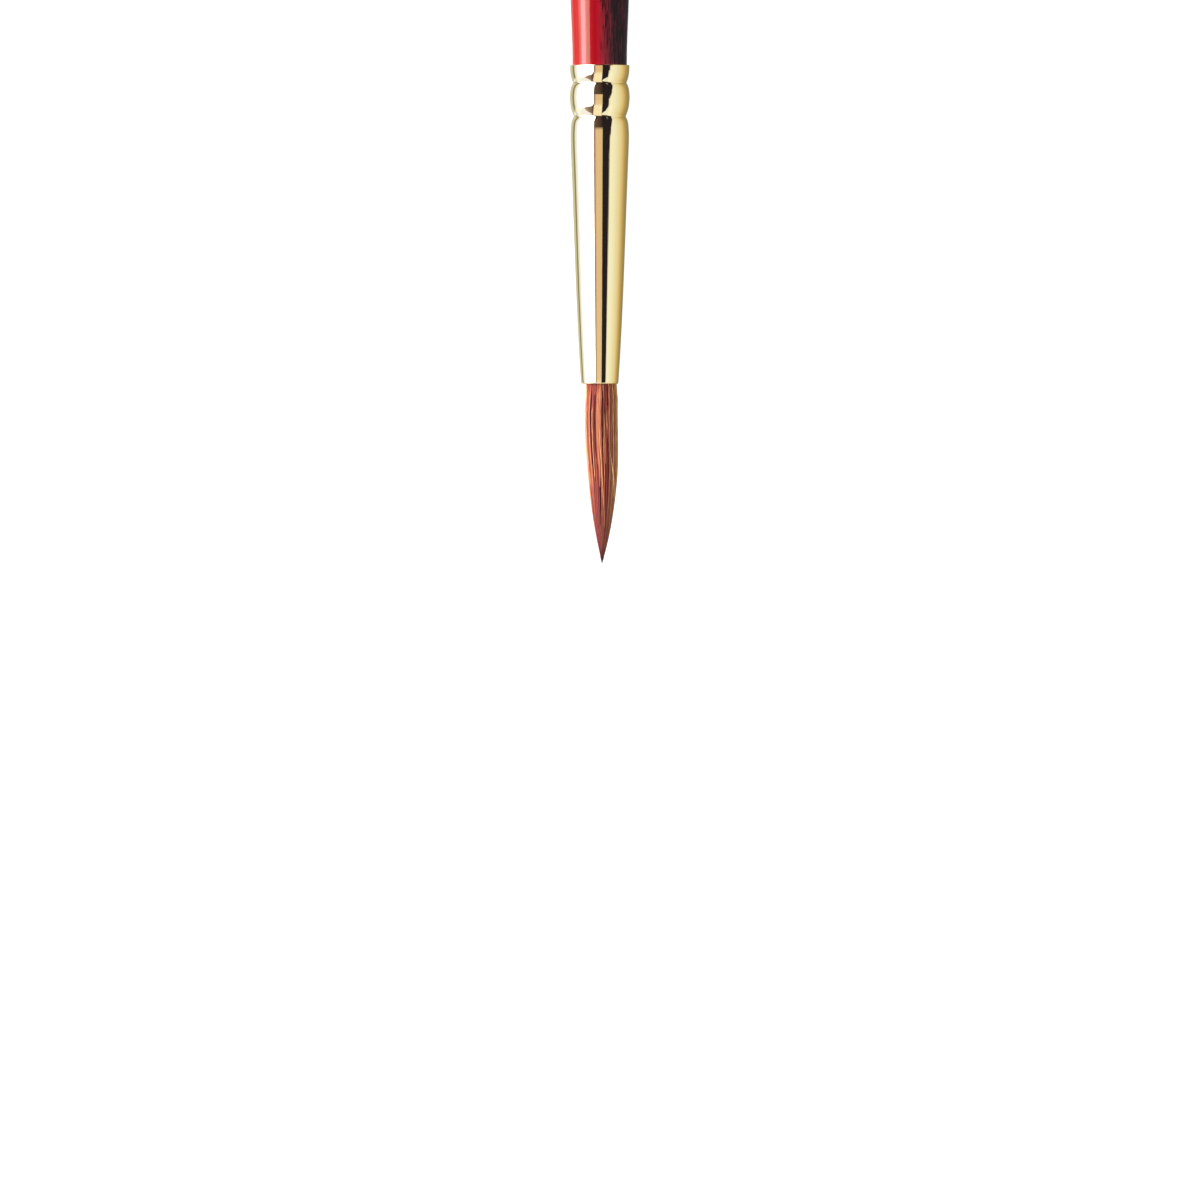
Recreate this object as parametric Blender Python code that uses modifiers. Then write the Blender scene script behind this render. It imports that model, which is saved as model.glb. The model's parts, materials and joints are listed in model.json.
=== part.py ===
"""A round watercolour brush, lying on a table.

A turned wooden handle is crimped and glued into a seamless metal ferrule. The ferrule's narrow mouth holds
a bound, resin-set bundle of hair, which comes out as a pointed tuft. Units are metres, +Z is up, and the
brush lies along Y with its tip towards -Y and its handle towards +Y.

Every piece is described along the brush's own axis: the distance is 0 at the ferrule's mouth, positive
towards the handle and negative towards the tip.
"""

import math

import bpy

MM = 0.001

# Driving dimensions
HAIR_OUT = 18.0 * MM  # hair showing outside the ferrule
FERRULE_LENGTH = 32.0 * MM
HANDLE_OUT = 140.0 * MM  # handle showing behind the ferrule
BELLY_RADIUS = 3.3 * MM  # the handle at its thickest
WALL = 0.22 * MM  # the ferrule's sheet
SIDES = 24  # flats round every turned piece

# The tuft's outline: it swells out of the mouth to a belly, then closes to a point
HAIR_MOUTH_RADIUS = 1.54 * MM
HAIR_BELLY_RADIUS = 1.675 * MM
HAIR_BELLY_AT = 3.6 * MM
HAIR_POINT_POWER = 2.3  # higher keeps the tuft full for longer before it closes

# The tuft: one core and a ring of locks round it, on a ball seated in the ferrule's mouth
LOCKS = 14
LOCK_START = 0.98 * MM  # the first place where a bent tuft clears the ferrule's edge
LOCK_SHORTEST = 15.6 * MM
LOCK_STAGGER = 0.45 * MM  # the locks end at three lengths, this much apart
LOCK_STATIONS = 11
LOCK_GAP = 0.04 * MM  # between neighbouring locks
BALL_RADIUS = 1.34 * MM
BALL_POINTS = 9

# Inside the ferrule
FIT_GAP = 0.04 * MM  # between nested pieces
GLUE_FILM = 0.1 * MM  # the handle's adhesive
HAIR_ROOT_FROM = 1.6 * MM
WAIST_FROM = 6.4 * MM  # the thread's seat round the hair root
WAIST_TO = 8.8 * MM
WAIST_EASE = 0.4 * MM  # length over which the root narrows to its waist
THREAD_RADIUS = 0.11 * MM
THREAD_TURNS = 6
THREAD_PITCH = 0.27 * MM
THREAD_POINTS_PER_TURN = 14
HAIR_ROOT_TO = 10.2 * MM
RESIN_TO = 12.8 * MM
TENON_FROM = 14.0 * MM
TENON_CHAMFER = 0.5 * MM
GLUE_FROM = 14.8 * MM
GLUE_TO = 31.1 * MM
COLLAR_FROM = 31.3 * MM  # full-width handle from here, with no glue round it

# Outlines: distance along the axis and radius
FERRULE_OUTLINE = [
    (0.0 * MM, 1.82 * MM),  # rounded mouth edge
    (0.12 * MM, 1.87 * MM),
    (0.5 * MM, 1.905 * MM),  # foot of the long cone
    (12.0 * MM, 2.405 * MM),
    (22.4 * MM, 2.858 * MM),  # top of the cone
    (23.8 * MM, 2.913 * MM),
    (24.8 * MM, 2.935 * MM),  # shoulder
    (25.6 * MM, 2.905 * MM),
    (26.25 * MM, 2.82 * MM),
    (26.85 * MM, 2.62 * MM),  # lower crimped groove
    (27.35 * MM, 2.82 * MM),
    (27.95 * MM, 2.945 * MM),
    (28.75 * MM, 3.0 * MM),  # bead
    (29.4 * MM, 2.94 * MM),
    (29.8 * MM, 2.835 * MM),
    (30.2 * MM, 2.69 * MM),  # upper crimped groove
    (30.65 * MM, 2.86 * MM),
    (31.3 * MM, 2.965 * MM),
    (31.8 * MM, 2.98 * MM),  # rim
    (32.0 * MM, 2.95 * MM),
]
HANDLE_OUTLINE = [  # distance behind the ferrule's rim
    (0.0 * MM, 2.72 * MM),
    (6.4 * MM, 2.92 * MM),
    (14.0 * MM, 3.15 * MM),
    (21.0 * MM, BELLY_RADIUS),  # the belly is straight for a short way
    (35.0 * MM, BELLY_RADIUS),
    (62.0 * MM, 2.94 * MM),
    (92.0 * MM, 2.34 * MM),
    (118.0 * MM, 1.80 * MM),
    (138.2 * MM, 1.42 * MM),  # the rounded tail begins here
]
TAIL_FLAT_RADIUS = 0.6 * MM  # the small flat left on the end by the lathe
DOME_POINTS = 6

# Where the brush lies
LENGTH = HAIR_OUT + FERRULE_LENGTH + HANDLE_OUT
MOUTH_Y = HAIR_OUT - LENGTH / 2
AXIS_Z = BELLY_RADIUS * math.cos(math.pi / SIDES)  # the belly's lowest flat is on the table

MERGE = 0.0001 * MM
SMOOTH_ANGLE = math.radians(35)

COLOURS = {  # base colour, roughness, metallic
    "red_lacquered_wood": ((0.40, 0.02, 0.03, 1.0), 0.15, 0.0),
    "polished_gold_plate": ((0.90, 0.70, 0.42, 1.0), 0.08, 1.0),
    "cured_adhesive": ((0.75, 0.60, 0.35, 1.0), 0.35, 0.0),
    "setting_resin": ((0.55, 0.30, 0.10, 1.0), 0.2, 0.0),
    "waxed_thread": ((0.80, 0.75, 0.62, 1.0), 0.7, 0.0),
    "sable_hair": ((0.32, 0.12, 0.06, 1.0), 0.45, 0.0),
    "sable_hair_root": ((0.42, 0.20, 0.10, 1.0), 0.5, 0.0),
}


def radius_at(outline, distance):
    """The outline's radius at a distance, on a smooth cubic that never overshoots the outline's points."""
    places = [place for place, _ in outline]
    radii = [radius for _, radius in outline]
    last = len(outline) - 1
    spans = [places[i + 1] - places[i] for i in range(last)]
    slopes = [(radii[i + 1] - radii[i]) / spans[i] for i in range(last)]
    tangents = [slopes[0]]
    for i in range(1, last):
        before, after = slopes[i - 1], slopes[i]
        if before * after <= 0:
            tangents.append(0.0)
            continue
        w_before = 2 * spans[i] + spans[i - 1]
        w_after = spans[i] + 2 * spans[i - 1]
        tangents.append((w_before + w_after) / (w_before / before + w_after / after))
    tangents.append(slopes[-1])
    i = min(max(sum(place <= distance for place in places) - 1, 0), last - 1)
    t = min(max((distance - places[i]) / spans[i], 0.0), 1.0)
    return (
        radii[i] * (1 + 2 * t) * (1 - t) ** 2
        + tangents[i] * spans[i] * t * (1 - t) ** 2
        + radii[i + 1] * t * t * (3 - 2 * t)
        + tangents[i + 1] * spans[i] * t * t * (t - 1)
    )


def ferrule_radius(distance):
    return radius_at(FERRULE_OUTLINE, distance)


def bore_radius(distance):
    """The ferrule's inner wall."""
    return ferrule_radius(distance) - WALL


def hair_radius(out):
    """The tuft's radius at a distance out of the mouth."""
    if out < HAIR_BELLY_AT:
        short = 1 - out / HAIR_BELLY_AT
        return HAIR_BELLY_RADIUS - (HAIR_BELLY_RADIUS - HAIR_MOUTH_RADIUS) * short * short
    t = (out - HAIR_BELLY_AT) / (HAIR_OUT - HAIR_BELLY_AT)
    return HAIR_BELLY_RADIUS * (1 - t**HAIR_POINT_POWER)


def between(start, end, count):
    """Evenly spaced distances from start to end, both included."""
    return [start + (end - start) * i / (count - 1) for i in range(count)]


def stations(start, end):
    """The ferrule's own outline points between two distances, and the two ends."""
    inner = [place for place, _ in FERRULE_OUTLINE if start < place < end]
    return [start, *inner, end]


def clear_scene():
    for obj in list(bpy.data.objects):
        bpy.data.objects.remove(obj, do_unlink=True)


def material(name):
    colour, roughness, metallic = COLOURS[name]
    made = bpy.data.materials.new(name)
    made.use_nodes = True
    shader = made.node_tree.nodes["Principled BSDF"]
    shader.inputs["Base Color"].default_value = colour
    shader.inputs["Roughness"].default_value = roughness
    shader.inputs["Metallic"].default_value = metallic
    made.diffuse_color = colour
    return made


def empty(name, parts, parent=None):
    """An empty with its Z along the brush, pointing to the handle, at the ferrule's mouth."""
    made = bpy.data.objects.new(name, None)
    made.empty_display_size = 5 * MM
    parts.objects.link(made)
    if parent:
        made.parent = parent
    else:
        made.location = (0.0, MOUTH_Y, AXIS_Z)
        made.rotation_euler = (-math.pi / 2, 0.0, 0.0)
    return made


def finish(obj, parent, parts, used):
    """Turns the object's modifiers or curve into its final mesh, shades it, and hangs it on its empty."""
    parts.objects.link(obj)
    bpy.context.view_layer.update()
    graph = bpy.context.evaluated_depsgraph_get()
    mesh = bpy.data.meshes.new_from_object(obj.evaluated_get(graph))
    name = obj.name
    bpy.data.objects.remove(obj, do_unlink=True)
    mesh.name = name
    mesh.materials.clear()
    mesh.materials.append(used)
    mesh.shade_smooth()
    mesh.set_sharp_from_angle(angle=SMOOTH_ANGLE)
    made = bpy.data.objects.new(name, mesh)
    made.parent = parent
    parts.objects.link(made)
    return made


def turned(name, outline, closed=False):
    """A solid of revolution round local Z, not yet in a collection.

    The outline is a list of (distance, radius), from the handle end to the tip end down the outer side. A
    closed outline makes a tube; an open one starts and ends on the axis. The outline's plane is half a flat
    round, so that a flat faces straight down.
    """
    turn = math.pi / SIDES
    points = [(r * math.cos(turn), r * math.sin(turn), z) for z, r in outline]
    edges = [(i, i + 1) for i in range(len(points) - 1)]
    if closed:
        edges.append((len(points) - 1, 0))
    mesh = bpy.data.meshes.new(name)
    mesh.from_pydata(points, edges, [])
    obj = bpy.data.objects.new(name, mesh)
    screw = obj.modifiers.new("Turn", "SCREW")
    screw.axis = "Z"
    screw.steps = SIDES
    screw.render_steps = SIDES
    screw.use_merge_vertices = True
    screw.merge_threshold = MERGE
    return obj


def tube(name, path, radii, sides_resolution):
    """A round bar along a path of points, with its own radius at each, not yet in a collection."""
    curve = bpy.data.curves.new(name, "CURVE")
    curve.dimensions = "3D"
    curve.bevel_depth = 1.0
    curve.bevel_resolution = sides_resolution
    curve.use_fill_caps = True
    spline = curve.splines.new("POLY")
    spline.points.add(len(path) - 1)
    for point, place, radius in zip(spline.points, path, radii):
        point.co = (*place, 1.0)
        point.radius = radius
    return bpy.data.objects.new(name, curve)


def with_midpoints(outline):
    """The outline's places, with one more halfway along each span that isn't straight along the axis."""
    places = []
    for (start, r_start), (end, r_end) in zip(outline, outline[1:]):
        places.append(start)
        if r_start != r_end:
            places.append((start + end) / 2)
    return places


def handle():
    """The turned handle, from its rounded tail to the tenon that the ferrule grips."""
    dome_at, dome_radius = HANDLE_OUTLINE[-1]
    depth = HANDLE_OUT - dome_at
    outline = [(FERRULE_LENGTH + HANDLE_OUT, 0.0)]
    for angle in between(math.pi / 2, 0.0, DOME_POINTS):
        place = FERRULE_LENGTH + dome_at + depth * math.sin(angle)
        outline.append((place, TAIL_FLAT_RADIUS + (dome_radius - TAIL_FLAT_RADIUS) * math.cos(angle)))
    for place in reversed(with_midpoints(HANDLE_OUTLINE)):
        outline.append((FERRULE_LENGTH + place, radius_at(HANDLE_OUTLINE, place)))
    outline.append((COLLAR_FROM, HANDLE_OUTLINE[0][1]))
    film = 2 * FIT_GAP + GLUE_FILM
    for place in reversed(stations(TENON_FROM + TENON_CHAMFER, COLLAR_FROM - 2 * FIT_GAP)):
        outline.append((place, bore_radius(place) - film))
    outline.append((TENON_FROM, bore_radius(TENON_FROM) - film - TENON_CHAMFER))
    outline.append((TENON_FROM, 0.0))
    return turned("handle", outline)


def ferrule():
    """The seamless tube: a long cone, two crimped grooves with a bead between them, and a rim."""
    places = [place for place, _ in FERRULE_OUTLINE]
    outside = [(place, ferrule_radius(place)) for place in reversed(places)]
    inside = [(place, bore_radius(place)) for place in places]
    return turned("ferrule", outside + inside, closed=True)


def handle_adhesive():
    """The film of glue between the tenon and the ferrule."""
    places = stations(GLUE_FROM, GLUE_TO)
    outside = [(place, bore_radius(place) - FIT_GAP) for place in reversed(places)]
    inside = [(place, bore_radius(place) - FIT_GAP - GLUE_FILM) for place in places]
    return turned("handle_adhesive", outside + inside, closed=True)


def waist_radius():
    """The hair root where the thread draws it in."""
    return bore_radius(WAIST_FROM) - 2 * THREAD_RADIUS - 3 * FIT_GAP


def hair_root():
    """The bundle inside the ferrule, drawn in to a waist by its thread."""
    outline = [(HAIR_ROOT_TO, 0.0)]
    outline.append((HAIR_ROOT_TO, bore_radius(HAIR_ROOT_TO) - FIT_GAP))
    outline.append((WAIST_TO + WAIST_EASE, bore_radius(WAIST_TO + WAIST_EASE) - FIT_GAP))
    outline.append((WAIST_TO, waist_radius()))
    outline.append((WAIST_FROM, waist_radius()))
    outline.append((WAIST_FROM - WAIST_EASE, bore_radius(WAIST_FROM - WAIST_EASE) - FIT_GAP))
    outline.append((HAIR_ROOT_FROM, bore_radius(HAIR_ROOT_FROM) - FIT_GAP))
    outline.append((HAIR_ROOT_FROM, 0.0))
    return turned("hair_root", outline)


def binding_thread():
    """The thread wound round the hair root's waist."""
    round_waist = waist_radius() + THREAD_RADIUS + FIT_GAP
    start = (WAIST_FROM + WAIST_TO - THREAD_TURNS * THREAD_PITCH) / 2
    count = THREAD_TURNS * THREAD_POINTS_PER_TURN + 1
    path = []
    for i in range(count):
        turn = i / THREAD_POINTS_PER_TURN
        angle = 2 * math.pi * turn
        path.append(
            (round_waist * math.cos(angle), round_waist * math.sin(angle), start + turn * THREAD_PITCH)
        )
    return tube("binding_thread", path, [THREAD_RADIUS] * count, 1)


def root_resin():
    """The plug of resin that sets the hair's butt ends and bonds them to the ferrule."""
    start = HAIR_ROOT_TO + FIT_GAP
    places = between(RESIN_TO, start, 3)
    outline = [(RESIN_TO, 0.0)]
    outline += [(place, bore_radius(place) - FIT_GAP) for place in places]
    outline.append((start, 0.0))
    return turned("root_resin", outline)


def core_radius(out):
    """The core fills the circle that the ring of locks leaves inside it."""
    return hair_radius(out) - 2 * lock_radius(out) - LOCK_GAP


def lock_radius(out):
    """Locks that touch their neighbours round the ring and the tuft's outline outside."""
    share = math.sin(math.pi / LOCKS)
    return hair_radius(out) * share / (1 + share) - LOCK_GAP / 2


def hair_core():
    """The middle of the tuft, on the ball that lets it bend in the ferrule's mouth."""
    neck_angle = math.asin(core_radius(LOCK_START) / BALL_RADIUS)
    neck_out = BALL_RADIUS * math.cos(neck_angle)
    outline = []
    for angle in between(0.0, math.pi - neck_angle, BALL_POINTS):
        outline.append((BALL_RADIUS * math.cos(angle), BALL_RADIUS * math.sin(angle)))
    for out in between(neck_out, LOCK_SHORTEST, LOCK_STATIONS)[1:]:
        outline.append((-out, core_radius(out)))
    outline.append((-HAIR_OUT, 0.0))
    return turned("hair_core", outline)


def hair_lock(index):
    """One lock of the ring, from just outside the ferrule to near the tip."""
    angle = 2 * math.pi * (index + 0.5) / LOCKS
    end = LOCK_SHORTEST + LOCK_STAGGER * (index % 3)
    path = []
    radii = []
    for out in between(LOCK_START, end, LOCK_STATIONS):
        radius = lock_radius(out)
        ring = hair_radius(out) - radius - LOCK_GAP / 2
        path.append((ring * math.cos(angle), ring * math.sin(angle), -out))
        radii.append(radius)
    return tube(f"hair_lock_{index + 1:02d}", path, radii, 2)


def build():
    clear_scene()
    parts = bpy.data.collections.new("paint_brush")
    bpy.context.scene.collection.children.link(parts)
    looks = {name: material(name) for name in COLOURS}
    brush_axis = empty("brush_axis", parts)
    tuft_pivot = empty("tuft_pivot", parts, brush_axis)

    finish(handle(), brush_axis, parts, looks["red_lacquered_wood"])
    finish(ferrule(), brush_axis, parts, looks["polished_gold_plate"])
    finish(handle_adhesive(), brush_axis, parts, looks["cured_adhesive"])
    finish(hair_root(), brush_axis, parts, looks["sable_hair_root"])
    finish(binding_thread(), brush_axis, parts, looks["waxed_thread"])
    finish(root_resin(), brush_axis, parts, looks["setting_resin"])
    finish(hair_core(), tuft_pivot, parts, looks["sable_hair"])
    for index in range(LOCKS):
        finish(hair_lock(index), tuft_pivot, parts, looks["sable_hair"])


build()
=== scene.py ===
"""The looks of a round watercolour brush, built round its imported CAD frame.

The brush lies along Y on a pale floor, its tip towards -Y and its handle towards +Y. Everything on it is
placed by its distance along the axis from the ferrule's mouth, positive towards the handle for the turned
pieces and positive out towards the tip for the hair, and by its angle round the axis, which is 0 straight up
and 90 degrees at +X. The turned pieces follow the CAD nodes' own rings on a finer lathe. The tuft is made of
separate tapering hairs, in one piece for its core and one for each lock.

Units are metres. The studio's directions and the angles in the tables of hairs are degrees.
"""

import json
import math
import random
import typing

import bmesh
import bpy
import numpy as np
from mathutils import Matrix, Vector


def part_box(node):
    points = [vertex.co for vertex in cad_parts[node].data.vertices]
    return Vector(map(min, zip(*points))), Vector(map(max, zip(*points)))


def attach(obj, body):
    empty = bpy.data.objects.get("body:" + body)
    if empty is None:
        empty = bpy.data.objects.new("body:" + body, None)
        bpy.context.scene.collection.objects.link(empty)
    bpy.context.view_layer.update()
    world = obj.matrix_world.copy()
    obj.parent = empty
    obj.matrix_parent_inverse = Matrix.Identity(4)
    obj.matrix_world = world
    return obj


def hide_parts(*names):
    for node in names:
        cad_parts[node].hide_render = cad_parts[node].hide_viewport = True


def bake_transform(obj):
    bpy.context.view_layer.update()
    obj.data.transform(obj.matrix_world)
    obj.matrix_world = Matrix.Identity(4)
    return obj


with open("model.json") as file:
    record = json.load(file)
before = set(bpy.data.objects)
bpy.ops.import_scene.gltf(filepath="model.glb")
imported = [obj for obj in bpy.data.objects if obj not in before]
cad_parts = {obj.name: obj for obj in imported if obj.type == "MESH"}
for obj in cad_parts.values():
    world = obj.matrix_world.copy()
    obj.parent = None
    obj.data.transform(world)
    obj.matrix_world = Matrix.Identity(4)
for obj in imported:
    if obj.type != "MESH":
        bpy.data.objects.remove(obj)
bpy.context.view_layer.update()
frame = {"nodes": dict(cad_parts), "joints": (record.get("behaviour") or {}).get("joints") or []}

MM = 0.001

# Places, all read from the frame
PIVOT = frame["joints"][0]["pos_m"]
AXIS_Z = PIVOT[2]
MOUTH_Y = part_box("ferrule")[0].y
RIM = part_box("ferrule")[1].y - MOUTH_Y
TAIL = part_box("handle")[1].y - MOUTH_Y
HAIR_OUT = MOUTH_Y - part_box("hair_core")[0].y
LOCK_NODES = sorted(name for name in frame["nodes"] if name.startswith("hair_lock_"))

# Lathe work
LATHE_SIDES = 128
SMOOTH_ANGLE = math.radians(32)


# ---------------------------------------------------------------- outlines and meshes


def cad_rings(node, pick):
    """A turned CAD node's outline, {distance: radius}. pick is max for its outer wall, min for its inner."""
    rings = {}
    for vertex in frame["nodes"][node].data.vertices:
        distance = round(vertex.co.y - MOUTH_Y, 6)
        radius = math.hypot(vertex.co.x, vertex.co.z - AXIS_Z)
        rings[distance] = pick(rings.get(distance, radius), radius)
    return rings


def smoothed(points, per_span, first_pull=1.0, last_pull=1.0):
    """Points (distance, radius) on a cubic through the given ones that never overshoots them.

    The pulls make the curve steeper at its two ends.
    """
    x = np.array([point[0] for point in points])
    r = np.array([point[1] for point in points])
    span = np.diff(x)
    slope = np.diff(r) / span
    tangent = np.concatenate([[first_pull * slope[0]], np.zeros(len(x) - 2), [last_pull * slope[-1]]])
    for i in range(1, len(x) - 1):
        if slope[i - 1] * slope[i] > 0:
            before = 2 * span[i] + span[i - 1]
            after = span[i] + 2 * span[i - 1]
            tangent[i] = (before + after) / (before / slope[i - 1] + after / slope[i])
    made = []
    for i, width in enumerate(span):
        for t in np.arange(per_span) / per_span:
            radius = (
                r[i] * (1 + 2 * t) * (1 - t) ** 2
                + tangent[i] * width * t * (1 - t) ** 2
                + r[i + 1] * t * t * (3 - 2 * t)
                + tangent[i + 1] * width * t * t * (t - 1)
            )
            made.append((x[i] + t * width, radius))
    made.append((x[-1], r[-1]))
    return made


def arc(centre, size, start, end, count):
    """Points (distance, radius) on an ellipse's arc; 0 degrees is towards the handle, 90 is outwards."""
    angles = np.radians(np.linspace(start, end, count))
    return [(centre[0] + size[0] * math.cos(a), centre[1] + size[1] * math.sin(a)) for a in angles]


def mesh_object(name, points, faces):
    mesh = bpy.data.meshes.new(name)
    mesh.from_pydata([tuple(point) for point in points], [], faces)
    mesh.validate()
    mesh.shade_smooth()
    made = bpy.data.objects.new(name, mesh)
    bpy.context.scene.collection.objects.link(made)
    return made


def turned(name, outline, closed):
    """A fine solid of revolution. A closed outline makes a tube; an open one starts and ends on the axis."""
    points = []
    rings = []
    for distance, radius in outline:
        y = MOUTH_Y + distance
        count = LATHE_SIDES if radius > 0 else 1
        rings.append(list(range(len(points), len(points) + count)))
        for i in range(count):
            angle = 2 * math.pi * i / LATHE_SIDES
            points.append((radius * math.sin(angle), y, AXIS_Z + radius * math.cos(angle)))
    if closed:
        rings.append(rings[0])
    faces = []
    for a, b in zip(rings, rings[1:]):
        for i in range(LATHE_SIDES):
            j = (i + 1) % LATHE_SIDES
            if len(a) == 1:
                faces.append((a[0], b[j], b[i]))
            elif len(b) == 1:
                faces.append((a[i], a[j], b[0]))
            else:
                faces.append((a[i], a[j], b[j], b[i]))
    made = mesh_object(name, points, faces)
    made.data.set_sharp_from_angle(angle=SMOOTH_ANGLE)
    return made


# ---------------------------------------------------------------- node trees


class Graph:
    """A short way to write a node tree: every method adds a node and gives back its output."""

    def __init__(self, tree):
        self.tree = tree
        tree.nodes.clear()

    def node(self, kind, inputs, **settings):
        made = self.tree.nodes.new(kind)
        for key, value in settings.items():
            setattr(made, key, value)
        for key, value in inputs.items():
            if isinstance(value, bpy.types.NodeSocket):
                self.tree.links.new(value, made.inputs[key])
            else:
                made.inputs[key].default_value = value
        return made

    def math(self, operation, a, b=0.0):
        return self.node("ShaderNodeMath", {0: a, 1: b}, operation=operation).outputs[0]

    def scaled(self, vector, scale):
        """The vector with its three parts multiplied."""
        made = self.node("ShaderNodeVectorMath", {0: vector, 1: scale}, operation="MULTIPLY")
        return made.outputs[0]

    def step(self, value, low, high, kind="SMOOTHSTEP"):
        """0 below low and 1 above high."""
        inputs = {"Value": value, "From Min": low, "From Max": high}
        return self.node("ShaderNodeMapRange", inputs, interpolation_type=kind).outputs[0]

    def noise(self, vector, detail=2.0, roughness=0.5):
        inputs = {"Vector": vector, "Scale": 1.0, "Detail": detail, "Roughness": roughness}
        return self.node("ShaderNodeTexNoise", inputs).outputs[0]

    def mix(self, factor, a, b):
        inputs = {0: factor, 6: a, 7: b}
        return self.node("ShaderNodeMix", inputs, data_type="RGBA").outputs[2]

    def ramp(self, value, stops):
        """A colour for each value; stops is a list of (value, colour)."""
        made = self.node("ShaderNodeValToRGB", {0: value})
        elements = made.color_ramp.elements
        while len(elements) < len(stops):
            elements.new(1.0)
        for element, (place, colour) in zip(elements, stops):
            element.position = place
            element.color = colour
        return made.outputs[0]

    def attribute(self, name):
        made = self.node("ShaderNodeAttribute", {}, attribute_name=name)
        return made.outputs["Fac"]

    def place(self):
        """The point in the piece's own frame, in metres."""
        return self.node("ShaderNodeTexCoord", {}).outputs["Object"]

    def parts(self, vector):
        made = self.node("ShaderNodeSeparateXYZ", {0: vector})
        return made.outputs[0], made.outputs[1], made.outputs[2]

    def bump(self, height, distance, strength=1.0):
        inputs = {"Height": height, "Distance": distance, "Strength": strength}
        return self.node("ShaderNodeBump", inputs).outputs[0]


def rgb(r, g, b):
    return (r, g, b, 1.0)


def grey(level):
    return rgb(level, level, level)


def material(name, surface):
    """A Principled material. surface(graph) gives the shader's inputs, as values or outputs of nodes."""
    made = bpy.data.materials.new(name)
    made.use_nodes = True
    graph = Graph(made.node_tree)
    shader = graph.node("ShaderNodeBsdfPrincipled", surface(graph))
    graph.node("ShaderNodeOutputMaterial", {0: shader.outputs[0]})
    return made


def drawn_out(graph, across, along):
    """Where a pattern is looked up, with so many of its features to the metre across and along the brush."""
    return graph.scaled(graph.place(), (across, along, across))


# ---------------------------------------------------------------- materials

CROWD_AND_SHADE = (-0.45 * MM, 0.9 * MM)  # from where to where, towards +X, the side away from the softbox, the wood's pores crowd together and the dye darkens: grain with painted shade
CROWD_AND_SHADE_PORES = 0.11  # how much that adds to the pattern of pores, as grain and painted shade both
DENSE_AND_SHADE = (1.0 * MM, 1.7 * MM)  # further out they crowd once more, deepening the painted shade
DENSE_AND_SHADE_PORES = 0.10
PORE_EDGE = (0.55, 0.70)  # the pattern's height at which a pore begins, and at which it is darkest
PORE_DEPTH = 0.94
FAINT_EDGE = (0.45, 0.70)  # the same for the faint grain that shows everywhere
FAINT_DEPTH = 0.10


def red_lacquered_wood(graph):
    """Wood dyed red under clear lacquer. Its dark pores run along the grain; towards +X, the side away from
    the softbox, they crowd and the dye turns maroon, which is partly painted shade.
    """
    x, _, _ = graph.parts(graph.place())
    pores = graph.noise(drawn_out(graph, 11000, 240), detail=3, roughness=0.6)
    crowd_and_shade = graph.step(x, *CROWD_AND_SHADE)
    dense_and_shade = graph.step(x, *DENSE_AND_SHADE)
    # the dye changes across the handle and turns maroon towards +X, as painted shade
    dye_and_shade = graph.ramp(
        crowd_and_shade,
        [
            (0.0, rgb(0.46, 0.002, 0.010)),
            (0.03, rgb(0.60, 0.006, 0.028)),
            (0.4, rgb(0.60, 0.030, 0.052)),
            (1.0, rgb(0.50, 0.062, 0.094)),
        ],
    )
    crowding_and_shade = graph.math("MULTIPLY", crowd_and_shade, CROWD_AND_SHADE_PORES)
    crowding_and_shade = graph.math("ADD", crowding_and_shade, graph.math("MULTIPLY", dense_and_shade, DENSE_AND_SHADE_PORES))
    depth = graph.step(graph.math("ADD", pores, crowding_and_shade), *PORE_EDGE)
    # no dark pores where the crowd and its painted shade haven't begun
    depth = graph.math("MULTIPLY", depth, graph.step(crowd_and_shade, 0.0, 0.3))
    faint = graph.math("MULTIPLY", graph.step(pores, *FAINT_EDGE), FAINT_DEPTH)
    depth = graph.math("MAXIMUM", depth, faint)
    colour = graph.mix(graph.math("MULTIPLY", depth, PORE_DEPTH), dye_and_shade, rgb(0.024, 0.006, 0.012))
    skin = graph.noise(drawn_out(graph, 900, 160), detail=1)
    dust = graph.noise(drawn_out(graph, 2600, 2600), detail=2)
    return {
        "Base Color": colour,
        "Roughness": graph.ramp(depth, [(0.0, grey(0.42)), (1.0, grey(0.6))]),
        "Specular IOR Level": 0.1,
        "Coat Weight": 1.0,
        "Coat Roughness": 0.02,
        "Coat IOR": 1.5,
        "Coat Normal": graph.bump(graph.math("ADD", skin, graph.math("MULTIPLY", dust, 0.1)), 0.01 * MM),
        "Normal": graph.bump(pores, 0.01 * MM, 0.4),
    }


def polished_gold_plate(graph):
    """Bright gold plate with faint draw lines along the tube and a little handling haze."""
    lines = graph.noise(drawn_out(graph, 9000, 90), detail=3, roughness=0.7)
    haze = graph.noise(drawn_out(graph, 500, 260), detail=3)
    tone = graph.mix(haze, rgb(0.90, 0.665, 0.285), rgb(0.91, 0.69, 0.315))
    rough = graph.math("ADD", graph.step(lines, 0.55, 0.85), graph.math("MULTIPLY", haze, 0.5))
    rough = graph.math("ADD", graph.math("MULTIPLY", rough, 0.05), 0.035)
    return {
        "Base Color": tone,
        "Metallic": 1.0,
        "Roughness": rough,
        "Normal": graph.bump(graph.math("ADD", lines, graph.math("MULTIPLY", haze, 2.0)), 0.0006 * MM),
    }


# Stretches of the tuft, from 0 at the mouth to 1 at the tip, over which every hair turns brown and then dark
TIP_BROWN = (0.40, 0.90)
TIP_DARK = (0.975, 1.0)
BROWN_SHARE = 0.5
BROWN_SHADES = (-0.1, 0.4)  # between these shades, a darker hair turns less brown
SCALE_CONTRAST = 0.25


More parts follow.
